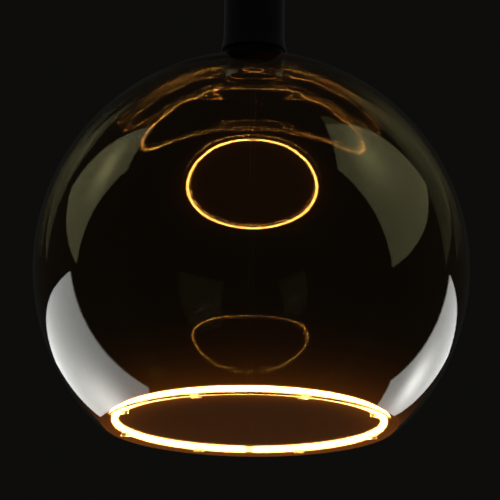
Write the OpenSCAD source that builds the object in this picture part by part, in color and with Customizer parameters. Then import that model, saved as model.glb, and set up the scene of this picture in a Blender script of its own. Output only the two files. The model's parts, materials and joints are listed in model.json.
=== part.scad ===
// Large globe lamp: smoked glass ball with a flat base, a ring of flexible light filament lying in it,
// a black neck collar with the driver inside, and an E27 screw cap on top.
// The base plane is z = 0, the lamp's axis is Z and the cap points up. Lengths are millimetres.

/* [Globe] */
// Outside diameter of the glass ball
globe_d = 200; // [160:1:230]
// Height of the ball's centre above the flat base
centre_h = 74; // [60:1:80]
// Thickness of the glass
glass_t = 1.2; // [0.8:0.1:2]
// Outside radius of the corner round the flat base
corner_r = 3.5; // [2.5:0.5:6]
// Outside diameter of the glass neck
neck_d = 25; // [22:0.5:28]
// Radius of the hollow curve between ball and neck
flare_r = 3; // [2.5:0.5:6]
// Length of the neck that shows between that curve and the collar
neck_bare = 3.1; // [2:0.1:5]
// Length of the neck inside the collar
neck_len = 13; // [11:0.5:15]

/* [Light ring] */
// Height of the ring above the glass floor, on its adhesive
ring_lift = 0.8; // [0.3:0.1:1.5]
// Distance from the start of the base corner in to the middle of the ring
ring_inset = 4.9; // [3:0.1:12]
// Diameter of the phosphor sleeve
sleeve_d = 3.2; // [2.6:0.1:4]
// Gap between the two ends of the sleeve
joint_gap = 3; // [2.4:0.1:5]
// Width of the flexible strip inside the sleeve
strip_w = 1.4; // [1:0.1:1.8]
// Thickness of the flexible strip
strip_t = 0.2; // [0.1:0.05:0.3]
// Length of one light chip along the strip
chip_len = 0.9; // [0.5:0.1:1.2]
// Width of one light chip
chip_w = 0.5; // [0.3:0.1:0.8]
// Thickness of one light chip
chip_t = 0.3; // [0.2:0.05:0.4]
// Distance from one light chip to the next
chip_pitch = 3.8; // [1.6:0.1:6]
// Number of adhesive pads under the sleeve
pad_count = 8; // [4:1:12]
// Diameter of one adhesive pad
pad_d = 4.8; // [4.2:0.1:5.6]
// Height of an adhesive pad beside the sleeve, above the sleeve's lowest line
pad_h = 0.9; // [0.4:0.1:1.2]

/* [Leads] */
// Diameter of the two lead wires that run up the glass
lead_d = 0.4; // [0.3:0.05:0.6]
// Clearance between the lead wires and the glass
lead_gap = 0.15; // [0.1:0.05:0.4]
// Bend radius of the lead wires at the base and at the board
lead_bend_r = 4; // [2:0.5:5]
// Length of a terminal that shows in the joint of the ring
terminal_len = 0.9; // [0.6:0.1:1.1]
// Length of a terminal inside the sleeve
terminal_root = 2; // [1:0.5:4]
// Diameter of the solder bead on a terminal
bead_d = 0.9; // [0.7:0.1:1.1]

/* [Neck collar] */
// Length of the collar from its foot to the shoulder under the cap
collar_h = 30; // [26:1:40]
// Thickness of the collar's wall
collar_t = 1.25; // [1:0.05:2]
// Height of the wider mouth at the foot of the collar's bore
mouth_h = 6; // [4:0.5:8]
// Width of that mouth beside the bore
mouth_w = 1.3; // [0.8:0.1:1.6]
// Height of the flared foot of the collar
foot_h = 9; // [6:0.5:12]
// Clearance between the collar and the glass neck
neck_fit = 0.3; // [0.2:0.05:0.5]
// Height of the spigot that carries the cap
spigot_h = 3; // [2:0.5:3.5]
// Thickness of the plug's flange on top of the glass neck
plug_flange_t = 1; // [0.8:0.1:2]
// Depth of the plug inside the glass neck
plug_h = 4; // [2:0.5:6]

/* [Screw cap] */
// Diameter over the crests of the screw shell
cap_d = 26.2; // [26:0.05:26.4]
// Length of the screw shell
shell_h = 20; // [18:0.5:22]
// Thickness of the shell's sheet metal
shell_t = 0.3; // [0.2:0.05:0.5]
// Outside radius where the shell turns in at its end
curl_r = 2.6; // [1.5:0.1:3]
// Radius of the opening at the shell's end
lip_r = 9.8; // [9:0.1:10.3]
// Height of the insulator's cone outside the shell
cone_h = 4.6; // [3:0.1:6]
// Radius of the cone's small end
cone_r = 5.8; // [5:0.1:7]
// Thickness of the insulator inside the shell
insulator_t = 3; // [2:0.5:4]
// Diameter of the centre contact
contact_d = 9.6; // [8:0.1:11]
// Thickness of the centre contact
contact_t = 0.5; // [0.3:0.1:1]
// Inside diameter of the contact's eyelet
eyelet_d = 2.8; // [2:0.1:3.2]
// Height of the solder dome on the contact
dome_h = 1.1; // [0.8:0.1:1.6]
// Diameter of the solder dome on the contact
dome_d = 5.6; // [4:0.1:6.4]

/* [Driver board] */
// Thickness of the board
board_t = 1; // [0.8:0.1:1.6]
// Free length between the board and the cap's insulator
board_top_gap = 4.5; // [4:0.5:8]
// Depth of the rails that hold the board's edges
rail_depth = 1.2; // [0.8:0.1:1.6]
// Diameter of the bulk capacitor
bulk_d = 8; // [6.3:0.1:8.2]
// Length of the bulk capacitor
bulk_h = 11.5; // [9:0.5:12]
// Width of the film capacitor
film_w = 6.8; // [5:0.1:7]
// Height of the film capacitor above the board
film_rise = 7.2; // [5:0.1:7.5]
// Thickness of the film capacitor
film_t = 3.6; // [2.5:0.1:4]
// Diameter of the choke's flanges
choke_d = 7; // [5:0.5:7]
// Diameter of the choke's core between its flanges
choke_core_d = 3.5; // [2.5:0.1:4]
// Length of the choke's core
choke_h = 6; // [5:0.5:6.5]
// Diameter of the fuse resistor
fuse_d = 2.4; // [2:0.1:3]
// Length of the fuse resistor
fuse_len = 6.5; // [5:0.5:8]
// Diameter of the insulated live and neutral wires
wire_d = 1; // [0.8:0.1:1.2]
// Diameter of the component legs
leg_d = 0.6; // [0.5:0.05:0.8]

/* [Hidden] */

// Clearances: pieces that are pushed together, and poured, soldered or glued pieces
fit = 0.1;
hair = 0.02;

// Facets: middle-sized turned parts, large glass curves, small turned parts, wires
$fn = 48;
ball_fn = 144;
small_fn = 32;
wire_fn = 20;

// Glass outline: every glass surface is the outer outline moved in by one distance
ball_r = globe_d / 2;
neck_r = neck_d / 2;
flare_x = neck_r + flare_r;
flare_z = centre_h + sqrt(pow(ball_r + flare_r, 2) - pow(flare_x, 2));
flare_angle = atan2(flare_z - centre_h, flare_x);
corner_x = sqrt(pow(ball_r - corner_r, 2) - pow(centre_h - corner_r, 2));
corner_angle = atan2(corner_r - centre_h, corner_x);

// Heights above the flare start from a plain number, a tenth of a millimetre at most from the curve
function tenths(x) = round(10 * x) / 10;
foot_z = tenths(flare_z + neck_bare);
mouth_top = foot_z + mouth_h;
neck_top = foot_z + neck_len;

// Light ring: it lies on the adhesive on the glass floor
ring_r = corner_x - ring_inset;
ring_z = glass_t + ring_lift + sleeve_d / 2;
function arc_deg(len) = len / ring_r * 180 / PI;
joint_half = arc_deg(joint_gap / 2);
strip_start = joint_half + arc_deg(terminal_root);
chip_end_gap = 1;
chip_margin = strip_start + arc_deg(chip_end_gap);
chip_count = floor((360 - 2 * chip_margin) / arc_deg(chip_pitch));
slot_t = strip_t + chip_t + 2 * fit;
slot_w = strip_w + 2 * fit;

// Leads: they follow the glass at one distance
lead_r = lead_d / 2;
lead_x = joint_gap / 2 - terminal_len / 2;
lead_sides = 8;
lead_inset = glass_t + lead_gap + lead_r;
wall_r = ball_r - lead_inset;
lead_bend_y = sqrt(pow(wall_r - lead_bend_r, 2) - pow(centre_h - ring_z - lead_bend_r, 2));
lead_bend_angle = atan2(ring_z + lead_bend_r - centre_h, lead_bend_y);
lead_neck_y = neck_r - lead_inset;

// Collar: its foot goes round the glass neck, its top carries the cap
cap_r = cap_d / 2;
shoulder_z = foot_z + collar_h;
bore_r = neck_r + neck_fit;
foot_bore_r = bore_r + mouth_w;
foot_r = foot_bore_r + collar_t;
waist_r = bore_r + collar_t;
shoulder_step = 0.9;
top_r = cap_r + shoulder_step;
edge_cut = 0.4;
spigot_r = cap_r - shell_t - fit;
chamber_r = spigot_r - collar_t;
flange_r = bore_r - fit;
ledge_z = neck_top + plug_flange_t + 2 * fit;
plug_top = neck_top + fit + plug_flange_t;
notch_depth = 1;

// Cap
shell_end = shoulder_z + shell_h;
insulator_low = shell_end - shell_t - fit - insulator_t;
contact_z = shell_end + cone_h;
eyelet_wall = 0.3;
barrel_r = eyelet_d / 2 + eyelet_wall;
eyelet_flare = 0.8;
eyelet_flare_t = 0.35;

// Board: it stands beside the axis, so the live wire runs straight up to the contact
wire_r = wire_d / 2;
board_front = -wire_r - fit;
board_back = board_front - board_t;
board_low = plug_top + 3 * fit;
board_high = insulator_low - board_top_gap;
board_half = sqrt(pow(chamber_r, 2) - pow(board_back, 2)) - neck_fit;
rail_t = 1;
rail_fit = 0.15;

// Places on the board, measured from the axis and from the board's lower edge
lead_pad_up = 3;
fuse_up = 6;
bulk_wire_gap = 0.3;
bulk_at = [bulk_d / 2 + wire_r + bulk_wire_gap, 13];
film_wire_gap = 1.6;
film_at = [-film_w / 2 - wire_r - film_wire_gap, 11.5];
choke_at = [-4.4, 20.5];
chip_at = [3.4, 14.6];
bridge_at = [4.6, 20.5];
resistor_at = [-7, 1.8];
wire_drop = 5;

// Packages on the board: width along it, rise from it, height up it
chip_size = [4.9, 1.5, 3.9];
chip_legs = 4;
chip_leg_pitch = 1.27;
bridge_size = [4.7, 1.8, 3.9];
bridge_legs = 2;
bridge_leg_pitch = 2.5;
flat_leg_w = 0.4;
flat_leg_t = 0.2;
flat_leg_out = 0.8;
resistor_size = [2, 0.55, 1.25];
resistor_step = [3, 2];
resistor_cols = 3;
resistor_rows = 2;

// Parts with wire legs
leg_r = leg_d / 2;
leg_tail = 0.6;
can_t = 0.4;
bung_h = 1.6;
bung_inset = 0.3;
bulk_y = board_front + bulk_d / 2 + fit;
bulk_leg_dx = 1.75;
bulk_leg_drop = 3;
bulk_leg_up = bulk_at[1] - bulk_leg_drop;
film_foot = 0.4;
film_leg_dx = 2.3;
choke_flange_t = 1.2;
choke_leg_dx = 2.2;
choke_leg_rise = 1;
choke_leg_gap = 1;
choke_leg_up = choke_at[1] - choke_d / 2 - choke_leg_gap;
winding_inset = 0.6;
fuse_gap = 0.4;
fuse_y = board_front + fuse_d / 2 + fuse_gap;
fuse_end_len = 1.4;
fuse_leg_out = 1.4;
fuse_leg_dx = fuse_len / 2 + fuse_leg_out;

// Neutral wire: from the board over the spigot and down between spigot and shell
neutral_x = -tenths(board_half - rail_depth - wire_r - 0.4);
neutral_groove_x = -tenths(spigot_r - wire_r);
neutral_turn_r = (neutral_x - neutral_groove_x) / 2;
neutral_over_z = shoulder_z + spigot_h + 0.5;
neutral_low_z = shoulder_z + 0.6;

// Legs through the board: [x, height above the board's lower edge, from the back?]
LEGS = [
    [bulk_at[0] - bulk_leg_dx, bulk_leg_up, false],
    [bulk_at[0] + bulk_leg_dx, bulk_leg_up, false],
    [film_at[0] - film_leg_dx, film_at[1], false],
    [film_at[0] + film_leg_dx, film_at[1], false],
    [-fuse_leg_dx, fuse_up, false],
    [fuse_leg_dx, fuse_up, false],
    [choke_at[0] - choke_leg_dx, choke_leg_up, true],
    [choke_at[0] + choke_leg_dx, choke_leg_up, true]
];

// Draws in the plane of Y and Z: x becomes y, y becomes z
module in_yz() {
    rotate([90, 0, 90]) children();
}

// Draws in the plane of X and Z: x stays, y becomes z
module in_xz() {
    rotate([90, 0, 0]) children();
}

// Round bar bent on an arc about the Z axis
module arc_bar(bend_r, bar_r, from, sweep) {
    rotate([0, 0, from]) rotate_extrude(angle = sweep, $fn = ball_fn)
        translate([bend_r, 0]) circle(bar_r, $fn = wire_fn);
}

// Straight round bar between two points of the drawing plane
module bar(a, b, bar_r) {
    d = b - a;
    translate([a[0], a[1], 0]) rotate([0, 90, atan2(d[1], d[0])])
        cylinder(h = norm(d), r = bar_r, $fn = wire_fn);
}

// Points on an arc of the drawing plane, both ends included
function arc_points(centre, r, from, to, steps) = [
    for (i = [0 : steps]) let (a = from + (to - from) * i / steps) centre + r * [cos(a), sin(a)]
];

// Direction of a route at point i, from its neighbours
function heading(route, i) =
    let (d = route[min(i + 1, len(route) - 1)] - route[max(i - 1, 0)]) d / norm(d);

// Round tube along a route in the drawing plane
module tube(route, tube_r, sides) {
    last = len(route) - 1;
    points = [
        for (i = [0 : last]) let (h = heading(route, i)) for (k = [0 : sides - 1])
            let (a = 360 * k / sides)
            [route[i][0] - h[1] * tube_r * cos(a), route[i][1] + h[0] * tube_r * cos(a), tube_r * sin(a)]
    ];
    walls = [
        for (i = [0 : last - 1]) for (k = [0 : sides - 1]) for (half = [0, 1])
            let (a = i * sides + k, b = i * sides + (k + 1) % sides)
            half == 0 ? [a, b, b + sides] : [a, b + sides, a + sides]
    ];
    low_end = [for (k = [sides - 1 : -1 : 0]) k];
    high_end = [for (k = [0 : sides - 1]) last * sides + k];
    polyhedron(points, concat(walls, [low_end, high_end]));
}

// Half outline of the globe, moved in from the outside by inset
module globe_outline(inset, top) {
    reach = 3 * corner_r;
    difference() {
        union() {
            translate([0, centre_h]) intersection() {
                circle(ball_r - inset, $fn = ball_fn);
                translate([0, -ball_r]) square([ball_r, 2 * ball_r]);
            }
            difference() {
                polygon([[0, centre_h], [flare_x, flare_z], [0, flare_z]]);
                translate([flare_x, flare_z]) circle(flare_r + inset, $fn = ball_fn);
            }
            translate([0, flare_z]) square([neck_r - inset, top - flare_z]);
        }
        translate([-1, inset - ball_r]) square([ball_r + 2, ball_r]);
        translate([corner_x, corner_r]) difference() {
            polygon([[0, 0], reach * [cos(corner_angle), sin(corner_angle)], [reach, -reach], [0, -reach]]);
            circle(corner_r - inset, $fn = ball_fn);
        }
    }
}

// Half outline of the screw shell, moved in from the outside by inset
module shell_outline(inset, low) {
    r = cap_r - inset;
    turn_r = curl_r - inset;
    translate([0, low]) square([r, shell_end - curl_r - low]);
    translate([0, shell_end - curl_r - fit]) square([r - turn_r, turn_r + fit]);
    translate([r - turn_r, shell_end - curl_r]) intersection() {
        circle(turn_r);
        square(turn_r);
    }
}

// Glass ball with flat base, flare and open neck, one wall all over
module globe() {
    color([0.28, 0.24, 0.2, 0.35]) rotate_extrude($fn = ball_fn) difference() {
        globe_outline(0, neck_top);
        globe_outline(glass_t, neck_top + 1);
    }
}

// Silicone sleeve with phosphor, open at the joint on the far side
module phosphor_sleeve() {
    color([1, 0.82, 0.45]) translate([0, 0, ring_z]) rotate([0, 0, 90 + joint_half])
        rotate_extrude(angle = 360 - 2 * joint_half, $fn = ball_fn) translate([ring_r, 0]) difference() {
            circle(sleeve_d / 2, $fn = small_fn);
            translate([-strip_t / 2 - fit, -slot_w / 2]) square([slot_t, slot_w]);
        }
}

// Flexible strip that carries the light chips, on edge inside the sleeve
module led_strip() {
    color([0.85, 0.85, 0.8]) translate([0, 0, ring_z]) rotate([0, 0, 90 + strip_start])
        rotate_extrude(angle = 360 - 2 * strip_start, $fn = ball_fn)
            translate([ring_r - strip_t / 2, -strip_w / 2]) square([strip_t, strip_w]);
}

// Light chips on the outer face of the strip
module led_chips() {
    color([0.95, 0.75, 0.2]) for (i = [0 : chip_count - 1])
        rotate([0, 0, 90 + chip_margin + (i + 0.5) * (360 - 2 * chip_margin) / chip_count])
            translate([ring_r + strip_t / 2 + chip_t / 2 + hair, 0, ring_z])
                cube([chip_t, chip_len, chip_w], center = true);
}

// Metal end of the strip on one side of the joint
module ring_terminal(side) {
    rotate([0, 0, 90 - side * (side > 0 ? strip_start : joint_half - arc_deg(terminal_len))])
        rotate_extrude(angle = strip_start - joint_half + arc_deg(terminal_len), $fn = ball_fn)
            translate([ring_r - strip_t / 2, -strip_w / 2]) square([strip_t, strip_w]);
}

module ring_terminals() {
    color([0.8, 0.8, 0.78]) translate([0, 0, ring_z]) {
        ring_terminal(1);
        ring_terminal(-1);
    }
}

// Clear adhesive pads between the sleeve and the glass floor
module ring_pads() {
    color([0.9, 0.9, 0.85]) difference() {
        for (i = [0 : pad_count - 1])
            rotate([0, 0, 90 + (i + 0.5) * 360 / pad_count]) translate([ring_r, 0, glass_t])
                cylinder(h = ring_lift + pad_h, d = pad_d, $fn = small_fn);
        translate([0, 0, ring_z]) rotate_extrude($fn = ball_fn) translate([ring_r, 0])
            circle(sleeve_d / 2 + fit / 2, $fn = small_fn);
    }
}

// Lead wire from the joint of the ring, up the glass and through the neck to the board
module led_lead(side) {
    top_z = board_low + lead_pad_up;
    route = concat(
        [[ring_r + strip_t / 2 + fit, ring_z]],
        arc_points([lead_bend_y, ring_z + lead_bend_r], lead_bend_r, -90, lead_bend_angle, 5),
        arc_points([0, centre_h], wall_r, lead_bend_angle + 4, flare_angle - 1, 30),
        arc_points([flare_x, flare_z], flare_r + lead_inset, 179 + flare_angle, 180, 9),
        arc_points([lead_neck_y - lead_bend_r, top_z - lead_bend_r], lead_bend_r, 0, 90, 6),
        [[board_front + fit, top_z]]
    );
    translate([side * lead_x, 0, 0]) in_yz() tube(route, lead_r, lead_sides);
}

module lead_positive() {
    color([0.75, 0.5, 0.3]) led_lead(1);
}

module lead_negative() {
    color([0.75, 0.5, 0.3]) led_lead(-1);
}

// Solder beads where the leads meet the terminals
module terminal_solder() {
    color([0.75, 0.75, 0.77]) for (side = [-1, 1])
        translate([side * lead_x, ring_r + strip_t / 2, ring_z]) difference() {
            sphere(d = bead_d, $fn = small_fn);
            translate([0, -bead_d, 0]) cube(2 * bead_d, center = true);
            rotate([-90, 0, 0]) cylinder(h = bead_d, r = lead_r + hair, $fn = wire_fn);
        }
}

// Plug that closes the glass neck, with one notch for both leads
module neck_plug() {
    plug_r = neck_r - glass_t - fit;
    notch_w = 2 * (lead_x + lead_d);
    color([0.08, 0.08, 0.08]) difference() {
        union() {
            translate([0, 0, neck_top + fit]) cylinder(h = plug_flange_t, r = flange_r);
            translate([0, 0, neck_top - plug_h]) cylinder(h = plug_h + 2 * fit, r = plug_r);
        }
        translate([-notch_w / 2, lead_neck_y - notch_depth / 2, neck_top - plug_h - 1])
            cube([notch_w, 2 * neck_fit + flange_r - lead_neck_y, plug_h + plug_flange_t + 2]);
    }
}

// Silicone in the mouth of the collar, round the glass neck
module neck_sealant() {
    color([0.12, 0.12, 0.12]) rotate_extrude($fn = ball_fn) difference() {
        polygon([
            [0, foot_z + edge_cut], [collar_bore(edge_cut) - hair, foot_z + edge_cut],
            [bore_r - hair, mouth_top], [0, mouth_top]
        ]);
        globe_outline(-hair, neck_top);
    }
}

// Radius of the collar's bore at a height above its foot
function collar_bore(up) = foot_bore_r + (bore_r - foot_bore_r) * up / mouth_h;

// Collar: flared foot, bore for the neck, rails for the board, spigot for the cap
module collar() {
    color([0.03, 0.03, 0.03]) difference() {
        union() {
            rotate_extrude($fn = ball_fn) difference() {
                collar_outline();
                collar_bore_outline();
            }
            board_rails();
        }
        translate([neutral_groove_x - wire_r - fit, -wire_r - fit, shoulder_z])
            cube([wire_d + 2 * fit, wire_d + 2 * fit, spigot_h + 1]);
    }
}

// Outside of the collar from foot to spigot
module collar_outline() {
    swell = foot_r - waist_r;
    swell_r = (pow(foot_h, 2) + pow(swell, 2)) / (2 * swell);
    difference() {
        translate([0, foot_z]) square([foot_r, foot_h]);
        translate([waist_r + swell_r, foot_z + foot_h]) circle(swell_r, $fn = 2 * ball_fn);
        translate([foot_r, foot_z]) rotate(45) square(edge_cut * sqrt(2), center = true);
    }
    polygon([
        [0, foot_z + foot_h], [waist_r, foot_z + foot_h], [top_r, shoulder_z - edge_cut],
        [top_r - edge_cut, shoulder_z], [spigot_r, shoulder_z], [spigot_r, shoulder_z + spigot_h],
        [0, shoulder_z + spigot_h]
    ]);
}

// Inside of the collar: mouth for the sealant, bore for the neck, chamber for the driver
module collar_bore_outline() {
    polygon([
        [0, foot_z - 1], [collar_bore(-1), foot_z - 1], [bore_r, mouth_top], [bore_r, ledge_z],
        [chamber_r, ledge_z], [chamber_r, shoulder_z + spigot_h + 1], [0, shoulder_z + spigot_h + 1]
    ]);
}

// Two ribs on each side of the chamber, with the board's edge between them
module board_rails() {
    slot_low = board_back - rail_fit;
    slot_high = board_front + rail_fit;
    low = ledge_z;
    high = shoulder_z + spigot_h;
    for (side = [-1, 1]) for (y = [slot_low - rail_t, slot_high]) intersection() {
        translate([side > 0 ? board_half - rail_depth : -chamber_r - collar_t / 2, y, low])
            cube([chamber_r + collar_t / 2 - board_half + rail_depth, rail_t, high - low]);
        translate([0, 0, low]) cylinder(h = high - low, r = chamber_r + collar_t / 2);
    }
}

// Places a part on the board: x from the axis, y across the board, z above its lower edge
module on_board(at, y) {
    translate([at[0], y, board_low + at[1]]) children();
}

// Circuit board with a hole for each leg
module driver_board() {
    color([0.1, 0.35, 0.2]) difference() {
        translate([-board_half, board_back, board_low])
            cube([2 * board_half, board_t, board_high - board_low]);
        for (leg = LEGS) on_board([leg[0], leg[1]], board_front + 1)
            in_xz() cylinder(h = board_t + 2, r = leg_r + fit / 2, $fn = wire_fn);
    }
}

// Small moulded package on the board's back with legs along both sides
module leg_package(at, size, count, pitch) {
    on_board(at, board_back) {
        translate([-size[0] / 2, -size[1] - fit, -size[2] / 2]) cube(size);
        for (i = [0 : count - 1]) for (flip = [0, 1])
            translate([(i - (count - 1) / 2) * pitch, -size[1] / 2, 0]) mirror([0, 0, flip])
                package_leg(size[2] / 2, size[1] / 2);
    }
}

// Flat leg that leaves the package at half height and turns down to the board
module package_leg(from, drop) {
    translate([-flat_leg_w / 2, -flat_leg_t / 2, from]) cube([flat_leg_w, flat_leg_t, flat_leg_out]);
    translate([-flat_leg_w / 2, 0, from + flat_leg_out - flat_leg_t]) cube([flat_leg_w, drop, flat_leg_t]);
}

module bridge_rectifier() {
    color([0.12, 0.12, 0.12]) leg_package(bridge_at, bridge_size, bridge_legs, bridge_leg_pitch);
}

module driver_chip() {
    color([0.15, 0.15, 0.15]) leg_package(chip_at, chip_size, chip_legs, chip_leg_pitch);
}

// Rows of small resistors on the back of the board
module chip_resistors() {
    color([0.2, 0.2, 0.22]) for (i = [0 : resistor_cols - 1]) for (j = [0 : resistor_rows - 1])
        on_board(resistor_at + [i * resistor_step[0], j * resistor_step[1]], board_back)
            translate([0, -resistor_size[1] / 2, 0]) cube(resistor_size, center = true);
}

// Fusible resistor across the lower front of the board
module fuse_resistor() {
    waist = 0.15;
    color([0.55, 0.6, 0.45]) on_board([0, fuse_up], fuse_y) rotate([0, 90, 0]) {
        cylinder(h = fuse_len - fuse_end_len, r = fuse_d / 2 - waist, center = true, $fn = small_fn);
        for (side = [-1, 1]) translate([0, 0, side * (fuse_len - fuse_end_len) / 2])
            cylinder(h = fuse_end_len, d = fuse_d, center = true, $fn = small_fn);
    }
}

// Film capacitor standing on the front of the board
module film_capacitor() {
    color([0.75, 0.25, 0.15]) on_board(film_at, board_front) {
        translate([-film_w / 2, film_foot, -film_t / 2]) cube([film_w, film_rise - film_foot, film_t]);
        for (side = [-1, 1]) translate([side * (film_w / 2 - film_foot), film_foot / 2, 0])
            cube([2 * film_foot, film_foot, film_t], center = true);
    }
}

// Aluminium can of the bulk capacitor with its crimp groove
module bulk_capacitor() {
    r = bulk_d / 2;
    groove_r = 0.5;
    groove_z = bung_h + 0.9;
    color([0.15, 0.15, 0.3]) on_board(bulk_at, bulk_y) rotate_extrude() difference() {
        square([r, bulk_h]);
        square([r - can_t, bung_h]);
        translate([r + groove_r / 2, groove_z]) circle(groove_r, $fn = small_fn);
        translate([r, bulk_h]) rotate(45) square(2 * can_t, center = true);
    }
}

// Rubber bung in the open end of that can
module capacitor_bung() {
    color([0.05, 0.05, 0.05]) on_board(bulk_at, bulk_y) difference() {
        translate([0, 0, bung_inset])
            cylinder(h = bung_h - bung_inset - fit, r = bulk_d / 2 - can_t - fit);
        for (side = [-1, 1]) translate([side * bulk_leg_dx, 0, 0])
            cylinder(h = bung_h, r = leg_r + fit / 2, $fn = wire_fn);
    }
}

// Ferrite drum of the choke, standing on the back of the board
module choke_core() {
    color([0.2, 0.2, 0.2]) on_board(choke_at, board_back) in_xz() {
        translate([0, 0, fit]) cylinder(h = choke_flange_t, d = choke_d);
        translate([0, 0, fit + choke_flange_t])
            cylinder(h = choke_h - 2 * choke_flange_t, d = choke_core_d);
        translate([0, 0, fit + choke_h - choke_flange_t]) cylinder(h = choke_flange_t, d = choke_d);
    }
}

// Wire wound on the drum
module choke_winding() {
    color([0.7, 0.35, 0.15]) on_board(choke_at, board_back) in_xz()
        translate([0, 0, fit + choke_flange_t]) difference() {
            translate([0, 0, fit])
                cylinder(h = choke_h - 2 * (choke_flange_t + fit), d = choke_d - 2 * winding_inset);
            cylinder(h = choke_h, d = choke_core_d + fit);
        }
}

// Legs of the capacitors, the fuse resistor and the choke, each through its hole in the board
module component_legs() {
    color([0.8, 0.8, 0.82]) {
        for (side = [-1, 1]) {
            bulk_leg(side);
            film_leg(side);
            fuse_leg(side);
            choke_leg(side);
        }
    }
}

// Leg of the bulk capacitor: down out of the bung, then back into the board
module bulk_leg(side) {
    x = bulk_at[0] + side * bulk_leg_dx;
    bung_z = board_low + bulk_at[1] + bung_h - fit;
    hole_z = board_low + bulk_leg_up;
    bend = 1;
    translate([x, 0, 0]) in_yz() {
        bar([bulk_y, bung_z], [bulk_y, hole_z + bend], leg_r);
        translate([bulk_y - bend, hole_z + bend]) arc_bar(bend, leg_r, -90, 90);
        bar([bulk_y - bend, hole_z], [board_back - leg_tail, hole_z], leg_r);
    }
}

// Leg of the film capacitor: straight down through the board
module film_leg(side) {
    stub = film_foot - fit;
    on_board([film_at[0] + side * film_leg_dx, film_at[1]], board_front + stub)
        in_xz() cylinder(h = board_t + leg_tail + stub, r = leg_r, $fn = wire_fn);
}

// Leg of the fuse resistor: out of its end, then back into the board
module fuse_leg(side) {
    bend = 0.8;
    z = board_low + fuse_up;
    translate([0, 0, z]) mirror([side > 0 ? 0 : 1, 0, 0]) {
        bar([fuse_len / 2, fuse_y], [fuse_leg_dx - bend, fuse_y], leg_r);
        translate([fuse_leg_dx - bend, fuse_y - bend]) arc_bar(bend, leg_r, 0, 90);
        bar([fuse_leg_dx, fuse_y - bend], [fuse_leg_dx, board_back - leg_tail], leg_r);
    }
}

// Leg of the choke: from its lower flange down and through the board to the front
module choke_leg(side) {
    on_board([choke_at[0] + side * choke_leg_dx, choke_leg_up], board_front + leg_tail)
        in_xz() cylinder(h = board_t + leg_tail + choke_leg_rise, r = leg_r, $fn = wire_fn);
}

// Cone of solder round each leg on the far side of the board, and on the lead and wire pads
module board_solder() {
    color([0.75, 0.75, 0.77]) {
        for (leg = LEGS) on_board([leg[0], leg[1]], leg[2] ? board_front : board_back)
            rotate([leg[2] ? -90 : 90, 0, 0]) solder_cone(leg_r);
        for (side = [-1, 1]) on_board([side * lead_x, lead_pad_up], board_front)
            rotate([-90, 0, 0]) solder_cone(lead_r);
    }
}

module solder_cone(bar_r) {
    rise = 0.5;
    difference() {
        cylinder(h = rise, r1 = bar_r + 0.55, r2 = bar_r + 0.15, $fn = small_fn);
        translate([0, 0, -1]) cylinder(h = rise + 2, r = bar_r + hair, $fn = wire_fn);
    }
}

// Live wire: straight up the axis from the board into the contact's eyelet
module live_wire() {
    color([0.6, 0.1, 0.08]) translate([0, 0, board_high - wire_drop])
        cylinder(h = contact_z - board_high + wire_drop, r = wire_r, $fn = wire_fn);
}

// Neutral wire: up from the board, over the spigot and down its groove inside the shell
module neutral_wire() {
    start_z = board_high - wire_drop;
    over_z = max(neutral_over_z, start_z + 1);
    color([0.15, 0.25, 0.6]) in_xz() {
        bar([neutral_x, start_z], [neutral_x, over_z], wire_r);
        translate([neutral_x - neutral_turn_r, over_z]) arc_bar(neutral_turn_r, wire_r, 0, 180);
        bar([neutral_groove_x, over_z], [neutral_groove_x, neutral_low_z], wire_r);
    }
}

// Sheet-metal screw shell, turned in over the insulator
module cap_shell() {
    color([0.82, 0.8, 0.76]) rotate_extrude($fn = ball_fn) difference() {
        shell_outline(0, shoulder_z);
        shell_outline(shell_t, shoulder_z - 1);
        square([lip_r, shell_end + 1]);
    }
}

// Insulator: disc inside the shell and cone outside it, with a hole for the eyelet
module cap_insulator() {
    color([0.06, 0.06, 0.07]) rotate_extrude($fn = ball_fn) difference() {
        union() {
            intersection() {
                shell_outline(shell_t + fit, shoulder_z);
                translate([0, insulator_low]) square([cap_r, insulator_t]);
            }
            polygon([
                [0, insulator_low], [lip_r - fit, insulator_low], [lip_r - fit, shell_end + edge_cut],
                [cone_r, contact_z], [0, contact_z]
            ]);
        }
        translate([-1, insulator_low - 1]) square([1 + barrel_r + fit, contact_z - insulator_low + 2]);
    }
}

// Centre contact: disc with an eyelet through the insulator, flared at its inner end
module centre_contact() {
    low = insulator_low - eyelet_flare_t - fit / 2;
    color([0.8, 0.65, 0.35]) rotate_extrude() difference() {
        union() {
            translate([0, contact_z]) square([contact_d / 2, contact_t]);
            translate([0, low]) square([barrel_r, contact_z - low]);
            translate([0, low]) square([barrel_r + eyelet_flare, eyelet_flare_t]);
        }
        translate([0, low - 1]) square([eyelet_d / 2, contact_z + contact_t - low + 2]);
        translate([contact_d / 2, contact_z + contact_t]) rotate(45)
            square(edge_cut, center = true);
    }
}

// Dome of solder over the eyelet
module contact_solder() {
    dome_r = (pow(dome_d / 2, 2) + pow(dome_h, 2)) / (2 * dome_h);
    top = contact_z + contact_t;
    color([0.78, 0.78, 0.8]) rotate_extrude() {
        intersection() {
            translate([0, top + dome_h - dome_r]) circle(dome_r, $fn = ball_fn);
            translate([0, top]) square([dome_d, dome_h + 1]);
        }
        translate([0, contact_z + fit]) square([eyelet_d / 2 - hair, contact_t]);
    }
}

globe();
phosphor_sleeve();
led_strip();
led_chips();
ring_terminals();
ring_pads();
lead_positive();
lead_negative();
terminal_solder();
neck_plug();
neck_sealant();
collar();
driver_board();
bridge_rectifier();
driver_chip();
chip_resistors();
fuse_resistor();
film_capacitor();
bulk_capacitor();
capacitor_bung();
choke_core();
choke_winding();
component_legs();
board_solder();
live_wire();
neutral_wire();
cap_shell();
cap_insulator();
centre_contact();
contact_solder();
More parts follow.
